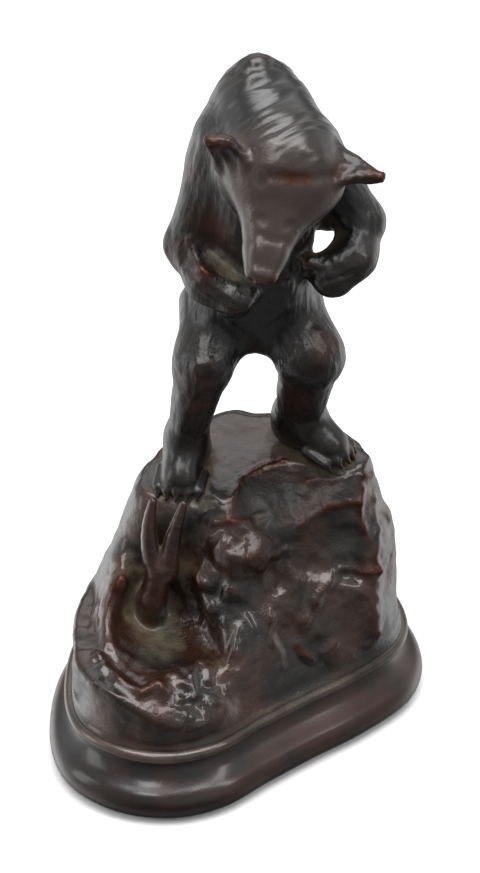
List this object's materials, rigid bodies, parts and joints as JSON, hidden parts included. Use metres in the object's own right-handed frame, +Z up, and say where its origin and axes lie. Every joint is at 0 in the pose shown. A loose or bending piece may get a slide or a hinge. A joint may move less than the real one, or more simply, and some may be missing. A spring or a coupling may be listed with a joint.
{
  "type": "bronze bear sculpture",
  "caption": "Small cast bronze of a bear standing upright on a rock, head bowed toward a claw that reaches out of a hollow, on a moulded plinth.",
  "frame": {"origin": "middle of the plinth's underside, on the surface it stands on", "axes": "+Z up, -Y toward the viewer of the front, +X to the viewer's right"},
  "size_m": [0.0806, 0.0738, 0.1514],
  "materials": {
    "bear_bronze": "near-black brown patina, waxed, with red-brown wear on raised edges and olive dust in the recesses",
    "plinth_bronze": "smoother dark brown patina, waxed, with lighter wear along the mouldings"
  },
  "bodies": {
    "root": {"bear_on_rock": "bear_bronze", "plinth": "plinth_bronze"}
  },
  "joints": []
}
